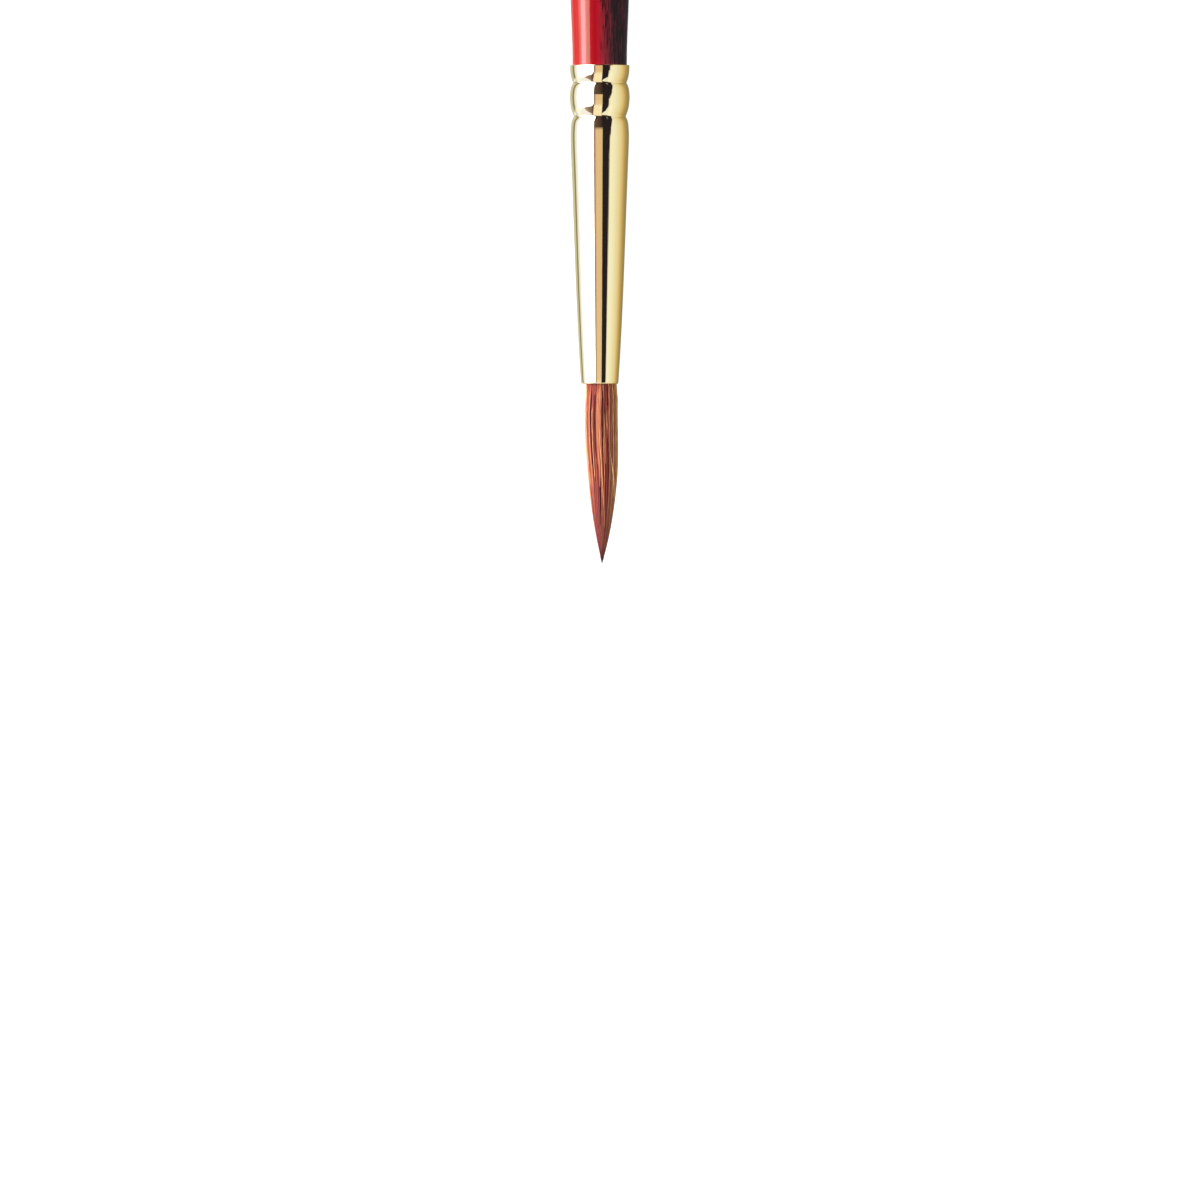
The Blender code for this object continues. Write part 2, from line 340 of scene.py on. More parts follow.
def sable_hair(graph):
    """Each hair has its own shade, with painted light, shade and highlights in it, turns brown and then dark
    at the tip, and shows fine scales.
    """
    shade = graph.attribute("shade")
    along = graph.attribute("along")
    scales = graph.noise(drawn_out(graph, 12000, 900), detail=2)
    lighter = graph.math("MULTIPLY", graph.math("SUBTRACT", scales, 0.5), SCALE_CONTRAST)
    shade = graph.math("ADD", shade, lighter)
    colour = graph.ramp(
        shade,
        [
            (0.0, rgb(0.025, 0.005, 0.004)),
            (0.3, rgb(0.130, 0.022, 0.015)),
            (0.55, rgb(0.320, 0.064, 0.028)),
            (0.8, rgb(0.520, 0.205, 0.065)),
            # the palest colour is a painted highlight, for the glint along one hair
            (1.0, rgb(0.920, 0.560, 0.190)),
        ],
    )
    brown = graph.math("MULTIPLY", graph.step(along, *TIP_BROWN), graph.step(shade, *BROWN_SHADES))
    brown = graph.math("MULTIPLY", brown, BROWN_SHARE)
    colour = graph.mix(brown, colour, rgb(0.180, 0.044, 0.032))
    colour = graph.mix(graph.step(along, *TIP_DARK), colour, rgb(0.020, 0.016, 0.018))
    return {
        "Base Color": colour,
        "Roughness": graph.ramp(scales, [(0.3, grey(0.40)), (0.7, grey(0.6))]),
        "Specular IOR Level": 0.04,
        "Normal": graph.bump(scales, 0.004 * MM, 0.5),
    }


def sable_hair_root(graph):
    """The bound hair inside the ferrule: pale woolly root ends soaked with resin."""
    strands = graph.noise(drawn_out(graph, 9000, 300), detail=2)
    colour = graph.ramp(strands, [(0.3, rgb(0.16, 0.06, 0.03)), (0.7, rgb(0.46, 0.24, 0.12))])
    return {"Base Color": colour, "Roughness": 0.5, "Normal": graph.bump(strands, 0.03 * MM)}


PLIES_ROUND = 40.0  # how fast the thread's plies turn, in radians for each radian round the axis
PLIES_ALONG = 30000.0  # and for each metre along it


def waxed_thread(graph):
    """Cotton thread: fine plies that lean across it, browned a little where the wax is thick."""
    x, y, z = graph.parts(graph.place())
    round_axis = graph.math("ARCTAN2", x, graph.math("SUBTRACT", z, AXIS_Z))
    turned_by = graph.math("MULTIPLY", round_axis, PLIES_ROUND)
    plies = graph.math("SINE", graph.math("ADD", turned_by, graph.math("MULTIPLY", y, PLIES_ALONG)))
    wax = graph.noise(drawn_out(graph, 4000, 4000), detail=2)
    colour = graph.mix(wax, rgb(0.82, 0.76, 0.60), rgb(0.62, 0.48, 0.28))
    return {"Base Color": colour, "Roughness": 0.6, "Normal": graph.bump(plies, 0.02 * MM)}


def setting_resin(graph):
    """Amber resin with clouds and small bubbles."""
    clouds = graph.noise(drawn_out(graph, 1800, 1800), detail=3)
    bubbles = graph.step(graph.noise(drawn_out(graph, 7000, 7000), detail=0), 0.7, 0.74)
    colour = graph.ramp(clouds, [(0.3, rgb(0.34, 0.13, 0.03)), (0.7, rgb(0.62, 0.33, 0.10))])
    return {
        "Base Color": graph.mix(bubbles, colour, rgb(0.85, 0.66, 0.40)),
        "Roughness": graph.math("ADD", 0.15, graph.math("MULTIPLY", bubbles, 0.3)),
        "Normal": graph.bump(bubbles, 0.02 * MM),
    }


def cured_adhesive(graph):
    """A thin film of yellowed glue, smeared along the tenon."""
    smears = graph.noise(drawn_out(graph, 2200, 300), detail=3)
    colour = graph.ramp(smears, [(0.3, rgb(0.58, 0.42, 0.20)), (0.7, rgb(0.82, 0.70, 0.44))])
    return {"Base Color": colour, "Roughness": 0.35, "Normal": graph.bump(smears, 0.02 * MM)}


# ---------------------------------------------------------------- handle and ferrule

LIP_LENGTH = 0.12 * MM  # the ferrule's rounded edge at the mouth
RIM_LIP_LENGTH = 0.1 * MM  # and at the rim
RIM_SHORT = 0.11 * MM  # the rim stands this much nearer the mouth than the CAD's
LIP_POINTS = 9
FERRULE_STEPS = 14  # lathe rings in each span of the CAD outline
CREASE_PULL = 1.5  # the crimped grooves are creases: their walls steepen towards the bottom
CREASE_SHIFT = 0.09 * MM  # their bottoms stand this much nearer the mouth than the CAD's rings
CREASE_ROUND = 0.05 * MM  # how much their bottoms are rounded
CREASE_REACH = 0.6 * MM  # and over what distance
HANDLE_STEPS = 6


def creased(points):
    """The ferrule's outside, smooth everywhere but for the tight bends at the bottoms of its grooves."""
    radii = [radius for _, radius in points]
    bottoms = [i for i in range(1, len(radii) - 1) if radii[i] < min(radii[i - 1], radii[i + 1])]
    for i in bottoms:
        points[i] = (points[i][0] - CREASE_SHIFT, radii[i] - CREASE_ROUND)
    ends = [0] + bottoms + [len(points) - 1]
    made = []
    for first, last in zip(ends, ends[1:]):
        first_pull = CREASE_PULL if first in bottoms else 1.0
        last_pull = CREASE_PULL if last in bottoms else 1.0
        made = made[:-1] + smoothed(points[first : last + 1], FERRULE_STEPS, first_pull, last_pull)
    for bottom, floor in [points[i] for i in bottoms]:
        for i, (distance, radius) in enumerate(made):
            near = max(1 - abs(distance - bottom) / CREASE_REACH, 0.0)
            height = abs(radius - floor)
            made[i] = (distance, radius + near * (math.hypot(height, CREASE_ROUND) - height))
    return made


def make_ferrule(gold):
    """The seamless tube, with both its cut edges rounded."""
    outer = sorted(cad_rings("ferrule", max).items())
    inner = sorted(cad_rings("ferrule", min).items())
    lip_from = RIM - RIM_LIP_LENGTH
    outside = creased([point for point in outer if LIP_LENGTH <= point[0] <= lip_from])
    bore = [(0.0, inner[0][1])] + [point for point in inner if LIP_LENGTH < point[0] < lip_from]
    bore = smoothed(bore, FERRULE_STEPS)[1:]

    def lip(outer_point, inner_point, edge, start, end):
        middle = (outer_point[1] + inner_point[1]) / 2
        size = (abs(edge - outer_point[0]), (outer_point[1] - inner_point[1]) / 2)
        return arc((outer_point[0], middle), size, start, end, LIP_POINTS)[1:-1]

    rim_edge = lip(outside[-1], bore[-1], RIM - RIM_SHORT, 90, -90)
    mouth_edge = lip(outside[0], bore[0], 0.0, 270, 90)
    outline = outside + rim_edge + list(reversed(bore)) + mouth_edge
    ferrule = turned("ferrule_tube", outline, closed=True)
    ferrule.data.materials.append(gold)
    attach(ferrule, "handle_and_ferrule")
    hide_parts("ferrule")
    return ferrule


def make_handle(lacquered):
    """The whole handle: its tenon as the CAD has it, and its visible length on a finer lathe."""
    rings = sorted(cad_rings("handle", max).items())
    visible_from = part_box("handle_adhesive")[1].y - MOUTH_Y
    tenon = [point for point in rings if point[0] < visible_from]
    visible = [point for point in rings if point[0] > visible_from]
    outline = [(tenon[0][0], 0.0)] + tenon + smoothed(visible, HANDLE_STEPS) + [(TAIL, 0.0)]
    handle = turned("lacquered_handle", outline, closed=False)
    handle.data.materials.append(lacquered)
    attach(handle, "handle_and_ferrule")
    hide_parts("handle")
    return handle


# ---------------------------------------------------------------- hair

SEED = 7

# The tuft's outline: it swells out of the mouth to a belly, then closes to a point
HAIR_MOUTH_RADIUS = 1.54 * MM
HAIR_BELLY_RADIUS = 1.675 * MM
HAIR_BELLY_AT = 3.6 * MM
HAIR_POINT_POWER = 2.3
HAIR_POINT_RADIUS = 0.06 * MM

# One hair
HAIR_SIDES = 6
HAIR_STATIONS = 18
STATION_POWER = 0.85  # below 1, a hair's stations stand closer together towards its tip
HAIR_FROM = -1.5 * MM  # hairs start inside the ferrule
TIP_THICKNESS = 0.012 * MM

# The core's hairs fill a circle evenly, as seeds do in a sunflower
CORE_HAIRS = 150
CORE_HAIR_RADIUS = 0.12 * MM
CORE_SHARE = 0.84  # the core's radius as a share of the tuft's
CORE_INNERMOST = 0.02  # and how far from the axis its first hair may stand
CORE_MIDDLE = 30  # so many hairs in the middle run all the way to the tip
CORE_SHORTER = 0.5 * MM  # the others stop up to this much short of it
CORE_SHADES = (0.1, 0.4)
GOLDEN_ANGLE = math.radians(137.508)

# The locks' hairs
CLUMPS_PER_LOCK = 5
HAIRS_PER_CLUMP = 9
CLUMP_PLACE = (0.25, 0.75)  # where a clump's middle stands within its share of the lock
HAIR_PLACE = (0.1, 0.9)  # and a hair within its share of the clump
CLUMP_GATHER = 0.45  # how far the hairs of a clump draw together by the tip
HAIR_DRIFT = 0.05  # how far a hair drifts round the tuft by the tip, in radians
RAISED_SHARE = (0.985, 1.005)  # a raised clump's distance from the axis, as a share of the tuft's radius
SUNK_SHARE = (0.96, 0.985)
HAIR_DEPTHS = [0.0, 0.015, 0.05, 0.09]  # how much deeper than its clump a hair may lie
DEPTH_KEPT = 0.5  # how much of its depth a hair still has at the tip
HAIR_RADII = (0.03 * MM, 0.05 * MM)
HAIR_SHORTER = 0.05 * MM  # even the longest hairs of a lock stop this much short of the tip
HAIR_LENGTH_SPREAD = 1.3 * MM
HAIR_SHORTEST = 12.5 * MM

# The tuft stands a little to +X of the axis: (distance out of the mouth, how far)
LEAN = [
    (-1.0 * MM, 0.0),
    (0.0, 0.14 * MM),
    (0.5 * MM, 0.20 * MM),
    (1.4 * MM, 0.19 * MM),
    (2.6 * MM, 0.14 * MM),
    (4.2 * MM, 0.15 * MM),
    (6.0 * MM, 0.20 * MM),
    (9.6 * MM, 0.30 * MM),
    (16.0 * MM, 0.28 * MM),
    (18.0 * MM, 0.24 * MM),
]
LEAN_STEPS = 8  # points on each stretch of that curve

# The hair's tone round the axis, with painted light and shade in it: lighter and darker with the angle as
# light falls round the tuft, lightest on the right flank. (angle, shade), from 0 dark to 1 golden
PAINTED_LIGHT_TONES = [
    (-180, 0.50),
    (-75, 0.53),
    (-50, 0.39),
    (-25, 0.40),
    (-6, 0.50),
    (4, 0.29),
    (24, 0.40),
    (42, 0.54),
    (70, 0.72),
    (110, 0.60),
    (180, 0.50),
]
CLUMP_LIGHT_STEP = 0.20  # clumps are lighter and darker than that by turns, by about so much: painted light on the raised ones and painted shade on the sunk ones
CLUMP_SPREAD = 0.08
HAIR_SPREAD = 0.08
SHADE_MOST = 0.9

# Hairs that catch the eye lie under their neighbours and rise between them where they show
ACCENT_SHARE = 0.93
ACCENT_RISE = 0.085
ACCENT_EASE = 2.0 * MM
ACCENT_SHORTER = 0.4 * MM

# Each one's angle round the axis at the mouth and at the tip, the stretch in which it shows, its shade, and
# its radius
# The pale ones are partly light hairs and partly painted highlights along single hairs
ACCENTS = [
    (-16, -10, -1.0 * MM, 9.0 * MM, 0.63, 0.060 * MM),
    (-13, -6, -1.0 * MM, 10.0 * MM, 0.70, 0.060 * MM),
    (-10, -2, -1.0 * MM, 10.6 * MM, 0.64, 0.060 * MM),
    (-12, -12, 8.6 * MM, 16.0 * MM, 0.0, 0.080 * MM),
    (-7, 37, -1.0 * MM, 15.5 * MM, 0.78, 0.075 * MM),
    (84, 86, 11.0 * MM, 19.0 * MM, 0.0, 0.070 * MM),
    # a painted highlight: the glint along one hair
    (25, 190, 6.4 * MM, 13.0 * MM, 1.0, 0.060 * MM),
    (31, 40, -1.0 * MM, 2.4 * MM, 0.0, 0.080 * MM),
    (6, 12, -1.0 * MM, 7.0 * MM, 0.08, 0.060 * MM),
    (-62, -56, 0.5 * MM, 11.0 * MM, 0.84, 0.040 * MM),
    (-46, -40, -1.0 * MM, 12.0 * MM, 0.80, 0.040 * MM),
    (-41, -35, -1.0 * MM, 10.0 * MM, 0.05, 0.050 * MM),
    (-33, -26, 1.0 * MM, 11.0 * MM, 0.82, 0.040 * MM),
    (-24, -14, -1.0 * MM, 9.0 * MM, 0.05, 0.050 * MM),
    (12, 20, 2.0 * MM, 9.0 * MM, 0.72, 0.040 * MM),
    (21, 30, 1.5 * MM, 6.0 * MM, 0.85, 0.040 * MM),
    (150, 120, 3.0 * MM, 12.0 * MM, 0.9, 0.055 * MM),
    (-130, -150, 2.0 * MM, 10.0 * MM, 0.9, 0.055 * MM),
]


def tuft_radius(out):
    """The tuft's radius at each distance out of the mouth."""
    short = 1 - np.clip(out / HAIR_BELLY_AT, 0.0, 1.0)
    swell = HAIR_BELLY_RADIUS - (HAIR_BELLY_RADIUS - HAIR_MOUTH_RADIUS) * short * short
    t = np.clip((out - HAIR_BELLY_AT) / (HAIR_OUT - HAIR_BELLY_AT), 0.0, 1.0)
    closing = np.maximum(HAIR_BELLY_RADIUS * (1 - t**HAIR_POINT_POWER), HAIR_POINT_RADIUS)
    return np.where(out < HAIR_BELLY_AT, swell, closing)


def tuft_lean(out):
    """How far the tuft's middle stands to +X of the axis."""
    places, leans = zip(*smoothed(LEAN, LEAN_STEPS))
    return np.interp(out, places, leans)


def along_tuft(out):
    """A place along the tuft: 0 up to the mouth and 1 from the tip on."""
    return np.clip(out / HAIR_OUT, 0.0, 1.0)


class HairPiece:
    """Collects hairs into one mesh, with each point's shade and its place along the tuft."""

    def __init__(self, name):
        self.name = name
        self.points = []
        self.faces = []
        self.shades = []
        self.alongs = []

    def add(self, angle, share, length, radius, shade, full=False):
        """One hair. angle and share (of the tuft's radius) are functions of the distance out of the mouth.

        A full hair keeps its share of the tuft's thickness all the way; any other one tapers as hair does.
        """
        out = HAIR_FROM + (length - HAIR_FROM) * np.linspace(0.0, 1.0, HAIR_STATIONS) ** STATION_POWER
        tuft = tuft_radius(out)
        if full:
            thickness = np.maximum(radius * tuft / HAIR_BELLY_RADIUS, TIP_THICKNESS)
        else:
            thickness = radius * (1 - np.clip(out / length, 0.0, 1.0) ** 3)
        thickness = np.minimum(thickness, tuft * 0.5 + TIP_THICKNESS)
        round_axis = angle(out)
        off_axis = np.maximum(tuft * share(out) - thickness, 0.0)
        middle = np.stack(
            [
                tuft_lean(out) + off_axis * np.sin(round_axis),
                MOUTH_Y - out,
                AXIS_Z + off_axis * np.cos(round_axis),
            ],
            axis=1,
        )
        first = len(self.points)
        turn = 2 * np.pi * np.arange(HAIR_SIDES) / HAIR_SIDES + round_axis[0]
        side = np.stack([np.sin(turn), np.zeros(HAIR_SIDES), np.cos(turn)], axis=1)
        for station in range(HAIR_STATIONS - 1):
            self.points.extend(middle[station] + thickness[station] * side)
        self.points.append(middle[-1])
        tip = len(self.points) - 1
        for station in range(HAIR_STATIONS - 2):
            low = first + station * HAIR_SIDES
            for i in range(HAIR_SIDES):
                j = (i + 1) % HAIR_SIDES
                self.faces.append((low + i, low + HAIR_SIDES + i, low + HAIR_SIDES + j, low + j))
        last = first + (HAIR_STATIONS - 2) * HAIR_SIDES
        for i in range(HAIR_SIDES):
            self.faces.append((last + i, tip, last + (i + 1) % HAIR_SIDES))
        self.faces.append(tuple(range(first, first + HAIR_SIDES)))
        place = along_tuft(out)
        self.alongs.extend(np.append(np.repeat(place[:-1], HAIR_SIDES), place[-1]))
        self.shades.extend([shade] * (tip + 1 - first))

    def finish(self, hair, node):
        made = mesh_object(self.name, self.points, self.faces)
        for name, values in (("shade", self.shades), ("along", self.alongs)):
            attribute = made.data.attributes.new(name, "FLOAT", "POINT")
            attribute.data.foreach_set("value", np.array(values, np.float32))
        made.data.materials.append(hair)
        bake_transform(made)
        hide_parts(node)
        return made


def painted_light_tone_at(angle):
    """The tone of the hair at an angle round the axis, given in radians, with its painted light and shade.
    """
    degrees = (math.degrees(angle) + 180) % 360 - 180
    angles, shades = zip(*PAINTED_LIGHT_TONES)
    return np.interp(degrees, angles, shades)


def fill_lock(piece, index, rng):
    """The hairs of one lock: clumps side by side, each of hairs that share a shade and draw together."""
    width = 2 * math.pi / len(LOCK_NODES)
    for clump in range(CLUMPS_PER_LOCK):
        clump_angle = (index + (clump + rng.uniform(*CLUMP_PLACE)) / CLUMPS_PER_LOCK) * width
        raised = (clump + index) % 2 == 1
        # painted light and shade: the tone follows the light round the tuft, raised clumps lighter and sunk
        # ones darker
        tone = painted_light_tone_at(clump_angle) + (CLUMP_LIGHT_STEP if raised else -CLUMP_LIGHT_STEP)
        clump_shade = rng.gauss(tone, CLUMP_SPREAD)
        clump_share = rng.uniform(*(RAISED_SHARE if raised else SUNK_SHARE))
        for hair in range(HAIRS_PER_CLUMP):
            place = (clump + (hair + rng.uniform(*HAIR_PLACE)) / HAIRS_PER_CLUMP) / CLUMPS_PER_LOCK
            start = (index + place) * width
            drift = rng.gauss(0.0, HAIR_DRIFT)
            depth = clump_share - rng.choice(HAIR_DEPTHS)
            length = HAIR_OUT - HAIR_SHORTER - abs(rng.gauss(0.0, HAIR_LENGTH_SPREAD))
            radius = rng.uniform(*HAIR_RADII)
            shade = min(max(rng.gauss(clump_shade, HAIR_SPREAD), 0.0), SHADE_MOST)

            def angle(out, start=start, drift=drift, clump_angle=clump_angle):
                return start + (CLUMP_GATHER * (clump_angle - start) + drift) * along_tuft(out) ** 3

            def share(out, depth=depth):
                return depth + (1.0 - depth) * (1.0 - DEPTH_KEPT) * along_tuft(out) ** 4

            piece.add(angle, share, max(length, HAIR_SHORTEST), radius, shade)


def add_accent(piece, accent):
    """One of the hairs that catch the eye."""
    at_mouth, at_tip, shown_from, shown_to, shade, radius = accent

    def angle(out):
        return np.radians(at_mouth + (at_tip - at_mouth) * along_tuft(out) ** 3)

    def share(out):
        rise = np.clip((out - shown_from) / ACCENT_EASE, 0.0, 1.0)
        fall = np.clip((shown_to - out) / ACCENT_EASE, 0.0, 1.0)
        return ACCENT_SHARE + ACCENT_RISE * rise * fall

    piece.add(angle, share, HAIR_OUT - ACCENT_SHORTER, radius, shade)


def fill_core(piece, rng):
    """The hairs in the middle of the tuft, thick enough to leave no gaps."""
    for i in range(CORE_HAIRS):
        share = CORE_SHARE * math.sqrt((i + 0.5) / CORE_HAIRS) + CORE_INNERMOST
        around = i * GOLDEN_ANGLE
        shorter = 0.0 if i < CORE_MIDDLE else rng.uniform(0.0, CORE_SHORTER)
        piece.add(
            lambda out, around=around: np.full(out.shape, around),
            lambda out, share=share: np.full(out.shape, share),
            HAIR_OUT - shorter,
            CORE_HAIR_RADIUS,
            rng.uniform(*CORE_SHADES),
            full=True,
        )


def lock_of(accent):
    """Which lock a hair that catches the eye belongs to, by its angle at the mouth."""
    turns = (accent[0] / 360) % 1
    return int(turns * len(LOCK_NODES))


def make_hair(hair):
    """The core, and one piece for each lock round it."""
    rng = random.Random(SEED)
    core = HairPiece("tuft_core_hairs")
    fill_core(core, rng)
    core.finish(hair, "hair_core")
    for index, node in enumerate(LOCK_NODES):
        piece = HairPiece(node.replace("hair_lock", "lock_hairs"))
        fill_lock(piece, index, rng)
        for accent in ACCENTS:
            if lock_of(accent) == index:
                add_accent(piece, accent)
        piece.finish(hair, node)


# ---------------------------------------------------------------- studio

WHITE = (1.0, 1.0, 1.0)
BACKDROP = 1.15  # how bright the plain backdrop is
FLOOR_SIZE = 8.0
FLOOR_GLOW = 0.95
FLOOR_ALBEDO = 0.2
FLOOR_FIBRES = 0.97  # how bright the darkest fibres of the floor are beside the palest
DOME_RADIUS = 0.5


class Card(typing.NamedTuple):
    """A light panel or a black flag, seen from the brush. It hides whatever was hung before it.

    azimuth runs round the brush, 0 straight up and 90 at +X; elevation runs towards the handle. light is one
    colour, or a list of (azimuth, colour). soft is how wide the card's edge is and corner how round its
    corners are. lean shifts the card's azimuths by so much for each degree of elevation.
    """

    azimuth: tuple
    elevation: tuple
    light: object
    soft: float = 2.0
    corner: float = 0.0
    lean: float = 0.0


ALL_UP = (-100, 100)

# What lights everything: a big softbox on the left in a dim room, and a flag high on the right
ROOM_BASE = (0.022, 0.02, 0.04)
RIGHT_WALL = [(40, (0.28, 0.27, 0.28)), (90, (0.26, 0.25, 0.26)), (125, (0.13, 0.13, 0.14))]
LEFT_WALL = [(-180, (0.75, 0.7, 0.5)), (-140, (0.6, 0.56, 0.4))]
SOFTBOX_UP = (-18, 60)
ROOM = [
    Card((40, 200), ALL_UP, RIGHT_WALL, soft=6),
    Card((20, 44), (2, 100), ROOM_BASE, soft=3, lean=0.5),
    Card((-200, -100), ALL_UP, LEFT_WALL, soft=8),
    Card((-130, -117), ALL_UP, (0.24, 0.22, 0.17), soft=4),
    Card((-100, -82), SOFTBOX_UP, [(-100, (0.6, 0.56, 0.42)), (-82, (4.4, 4.2, 3.2))], soft=8),
    Card((-62, -41), SOFTBOX_UP, [(-60, (4.6, 4.4, 3.8)), (-41, (4.4, 4.2, 3.0))], corner=14, soft=1.5),
    Card((-82, -60), SOFTBOX_UP, [(-82, (8.6, 8.6, 8.4)), (-60, (9.2, 9.1, 8.9))], soft=6),
]

# Reflectors that light the gold and the hair only, and the flags between them
BLACK = (0.0, 0.0, 0.0)
REFLECTORS_BASE = BLACK
RIGHT_SIDE = [
    (36, (0.76, 1.02, 1.4)),
    (62, (0.72, 0.92, 1.3)),
    (78, (0.65, 0.78, 0.92)),
    (90, (0.63, 0.68, 0.63)),
    (104, (0.56, 0.51, 0.33)),
    (120, (0.38, 0.31, 0.12)),
    (143, (0.20, 0.18, 0.06)),
]
RIGHT_FOOT = [(10, (1.1, 1.3, 1.9))] + RIGHT_SIDE[1:]
TAN = [(-20, (0.40, 0.32, 0.38)), (-12, (0.85, 0.72, 0.73)), (11, (0.74, 0.70, 0.62))]
TAN_FOOT = (1.08, 1.14, 1.4)
DARK_CAP = [(-24, (0.14, 0.10, 0.10)), (0, (0.06, 0.04, 0.04)), (14, BLACK)]
CREAM = [(-117, (0.25, 0.45, 1.1)), (-104, (0.4, 0.7, 1.9)), (-92, (0.6, 1.05, 2.9))]
BROWN = [(-76, (0.6, 0.55, 0.75)), (-28, (0.1, 0.07, 0.08))]
LEFT_FOOT = [(-108, (0.5, 0.7, 1.5)), (-98, (1.0, 1.25, 2.3))]
BIG_WHITE = [(-88, (1.0, 1.7, 4.2)), (-76, (3.2, 3.8, 7.5))]
REFLECTORS = [
    Card((11, 200), ALL_UP, RIGHT_SIDE),
    # the tan strip with its dark left edge, and its brighter foot
    Card((-22, 13), (-100, 10), TAN, soft=3),
    Card((-14, 30), (-100, -13), TAN_FOOT, soft=20, lean=0.3),
    # the black strip, and the dark cap over both
    Card((11.5, 37), (-60, 100), BLACK, soft=2, lean=0.05),
    Card((20, 42), (-3, 100), BLACK, soft=3, lean=0.5),
    Card((-40, 42), (9, 100), DARK_CAP, lean=0.5),
    # the right side again, where it cuts off the foot of the black strip
    Card((61, 230), (-100, -12), RIGHT_FOOT, soft=3, lean=1.18),
    # the far left: a dim edge, a dark line and the cream card beside it
    Card((-200, -128), ALL_UP, (0.06, 0.18, 0.36), soft=2),
    Card((-130, -117), ALL_UP, (0.04, 0.10, 0.14), soft=4),
    Card((-117, -76), ALL_UP, CREAM, soft=2),
    # what shows below the big white card, with the tan strip's foot cut into it, and the white card itself
    Card((-86, -23), (-100, 0), BROWN, soft=5),
    Card((-15, -3), (-100, -17), TAN_FOOT, soft=3, lean=0.41),
    Card((-180, -94), (-100, -12), LEFT_FOOT, soft=4, lean=-1.33),
    Card((-88, -24), (-18, 70), BIG_WHITE, corner=14, soft=3),
]


def card_mask(graph, azimuth, elevation, card):
    """1 on the card and 0 beside it, from the distance to a rectangle with rounded corners."""
    leaning = graph.math("SUBTRACT", azimuth, graph.math("MULTIPLY", elevation, card.lean))
    past = []
    for direction, (low, high) in ((leaning, card.azimuth), (elevation, card.elevation)):
        reach = graph.math("ABSOLUTE", graph.math("SUBTRACT", direction, (low + high) / 2))
        past.append(graph.math("SUBTRACT", reach, (high - low) / 2 - card.corner))
    over = [graph.math("POWER", graph.math("MAXIMUM", value, 0.0), 2.0) for value in past]
    outside = graph.math("SQRT", graph.math("ADD", *over))
    inside = graph.math("MINIMUM", graph.math("MAXIMUM", *past), 0.0)
    beyond = graph.math("SUBTRACT", graph.math("ADD", outside, inside), card.corner)
    return graph.math("SUBTRACT", 1.0, graph.step(beyond, -card.soft / 2, card.soft / 2))


def cards_light(graph, direction, cards, base):
    """The light from each direction: the base, with the cards hung in front of it one after another."""
    x, y, z = graph.parts(direction)
    azimuth = graph.math("DEGREES", graph.math("ARCTAN2", x, z))
    elevation = graph.math("DEGREES", graph.math("ARCSINE", y))
    turn = graph.step(azimuth, -180, 180, "LINEAR")
    total = rgb(*base)
    for card in cards:
        light = card.light
        if isinstance(light, list):
            light = graph.ramp(turn, [((place + 180) / 360, rgb(*colour)) for place, colour in light])
        else:
            light = rgb(*light)
        total = graph.mix(card_mask(graph, azimuth, elevation, card), total, light)
    return total


def make_world():
    """A dim room with one big softbox on the left. The camera sees it plain white."""
    world = bpy.data.worlds.new("studio")
    bpy.context.scene.world = world
    world.use_nodes = True
    graph = Graph(world.node_tree)
    direction = graph.node("ShaderNodeTexCoord", {}).outputs["Generated"]
    light = cards_light(graph, direction, ROOM, ROOM_BASE)
    room = graph.node("ShaderNodeBackground", {0: light})
    plain = graph.node("ShaderNodeBackground", {0: rgb(*WHITE), 1: BACKDROP})
    seen = graph.node("ShaderNodeLightPath", {}).outputs["Is Camera Ray"]
    both = graph.node("ShaderNodeMixShader", {0: seen, 1: room.outputs[0], 2: plain.outputs[0]})
    graph.node("ShaderNodeOutputWorld", {0: both.outputs[0]})


def make_fill_dome(handle):
    """The reflectors round the brush, which the handle is flagged off."""
    mesh = bpy.data.meshes.new("fill_dome")
    shape = bmesh.new()
    bmesh.ops.create_uvsphere(shape, u_segments=48, v_segments=24, radius=DOME_RADIUS)
    shape.to_mesh(mesh)
    shape.free()
    dome = bpy.data.objects.new("fill_dome", mesh)
    dome.location = (0.0, MOUTH_Y + RIM / 2, AXIS_Z)
    bpy.context.scene.collection.objects.link(dome)
    cards = bpy.data.materials.new("reflector_cards")
    cards.use_nodes = True
    graph = Graph(cards.node_tree)
    unit = graph.node("ShaderNodeVectorMath", {0: graph.place()}, operation="NORMALIZE").outputs[0]
    glow = graph.node("ShaderNodeEmission", {0: cards_light(graph, unit, REFLECTORS, REFLECTORS_BASE)})
    clear = graph.node("ShaderNodeBsdfTransparent", {})
    both = graph.node("ShaderNodeAddShader", {0: glow.outputs[0], 1: clear.outputs[0]})
    graph.node("ShaderNodeOutputMaterial", {0: both.outputs[0]})
    cards.cycles.emission_sampling = "NONE"
    mesh.materials.append(cards)
    dome.visible_camera = False
    flagged = bpy.data.collections.new("flagged_off_the_fill")
    flagged.objects.link(handle)
    flagged.collection_objects[0].light_linking.link_state = "EXCLUDE"
    dome.light_linking.receiver_collection = flagged


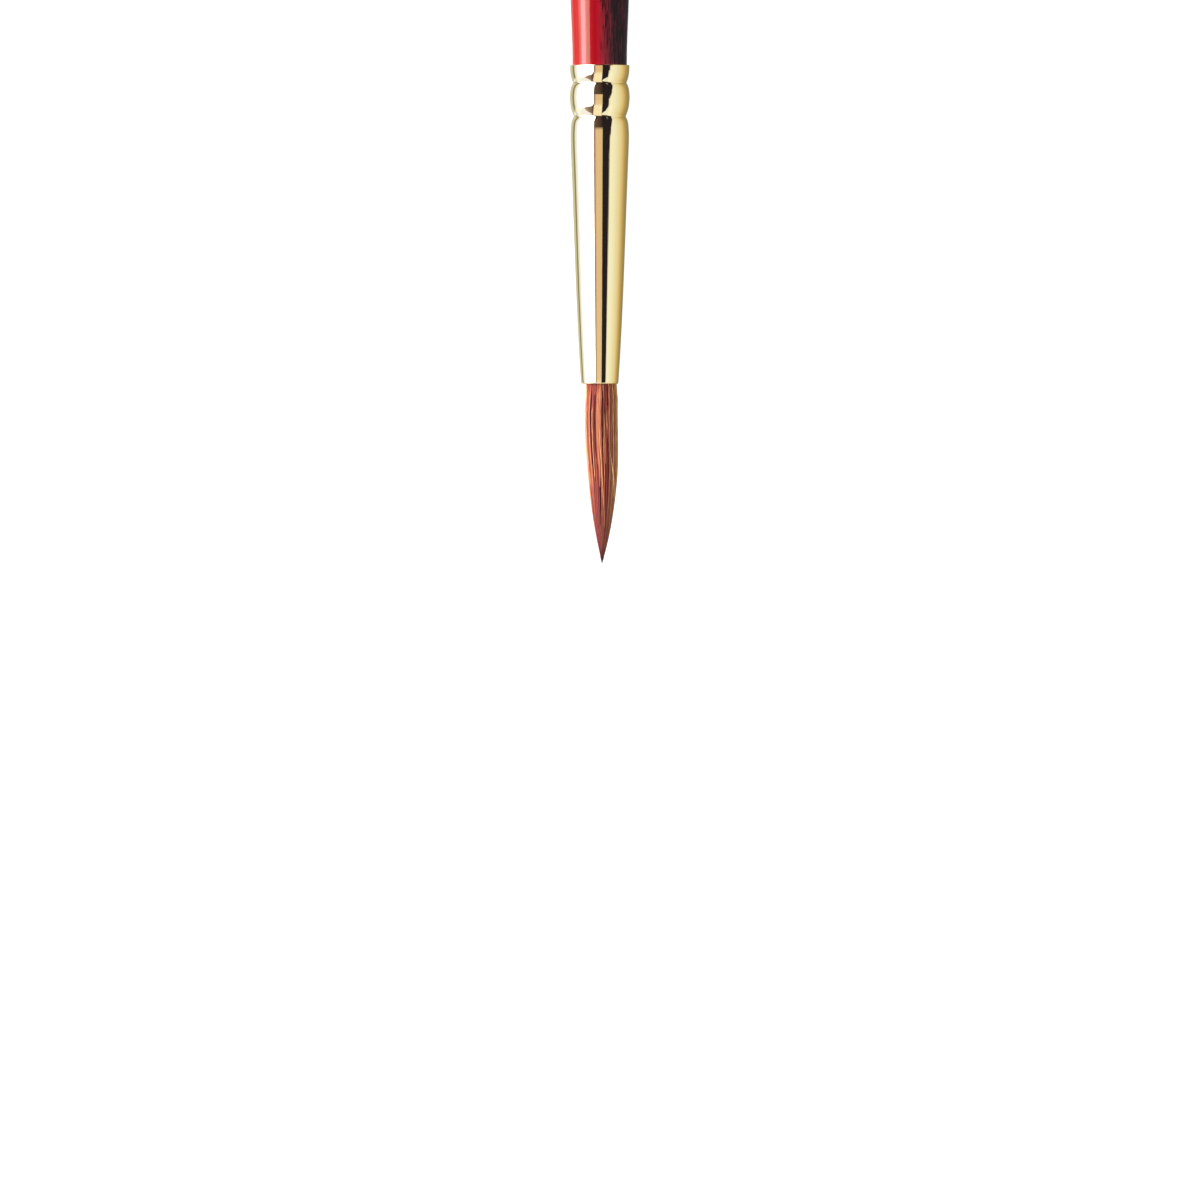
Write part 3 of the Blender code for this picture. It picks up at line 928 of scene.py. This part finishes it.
def make_floor():
    """A pale floor that glows a little, as a light table does, so that shadows on it are faint."""
    half = FLOOR_SIZE / 2
    corners = [(-half, -half, 0.0), (half, -half, 0.0), (half, half, 0.0), (-half, half, 0.0)]
    floor = mesh_object("floor", corners, [(0, 1, 2, 3)])
    paper = bpy.data.materials.new("pale_floor")
    paper.use_nodes = True
    graph = Graph(paper.node_tree)
    fibres = graph.noise(drawn_out(graph, 900, 900), detail=3)
    tone = graph.mix(fibres, grey(FLOOR_ALBEDO * FLOOR_FIBRES), grey(FLOOR_ALBEDO))
    matt = graph.node("ShaderNodeBsdfDiffuse", {0: tone})
    glow = graph.node("ShaderNodeEmission", {0: rgb(*WHITE), 1: FLOOR_GLOW})
    both = graph.node("ShaderNodeAddShader", {0: matt.outputs[0], 1: glow.outputs[0]})
    graph.node("ShaderNodeOutputMaterial", {0: both.outputs[0]})
    floor.data.materials.append(paper)
    floor.visible_diffuse = False
    floor.visible_glossy = False
    floor.visible_shadow = False


VIEW_WIDTH = 120 * MM  # what the camera sees at the brush's height
CENTRE_PAST_TIP = 3.6 * MM  # from the tip to the middle of the view
CENTRE_OFF_AXIS = 0.035 * MM  # from the axis to the middle of the view
LENS = 600
SENSOR = 36


def make_camera():
    """A long lens straight above the brush, with the handle at the top of the view."""
    lens = bpy.data.cameras.new("camera")
    lens.lens = LENS
    lens.sensor_width = SENSOR
    lens.clip_start = 0.01
    lens.clip_end = 50
    camera = bpy.data.objects.new("camera", lens)
    height = VIEW_WIDTH * LENS / SENSOR
    camera.location = (CENTRE_OFF_AXIS, MOUTH_Y - HAIR_OUT - CENTRE_PAST_TIP, AXIS_Z + height)
    bpy.context.scene.collection.objects.link(camera)
    bpy.context.scene.camera = camera


# ---------------------------------------------------------------- the scene


def main():
    bpy.context.scene.view_settings.view_transform = "Standard"
    make_camera()
    handle = make_handle(material("red_lacquered_wood", red_lacquered_wood))
    make_ferrule(material("polished_gold_plate", polished_gold_plate))
    make_hair(material("sable_hair", sable_hair))
    kept = {
        "handle_adhesive": cured_adhesive,
        "hair_root": sable_hair_root,
        "binding_thread": waxed_thread,
        "root_resin": setting_resin,
    }
    for node, surface in kept.items():
        mesh = frame["nodes"][node].data
        mesh.materials.clear()
        mesh.materials.append(material(f"{node}_look", surface))
    make_world()
    make_fill_dome(handle)
    make_floor()


main()
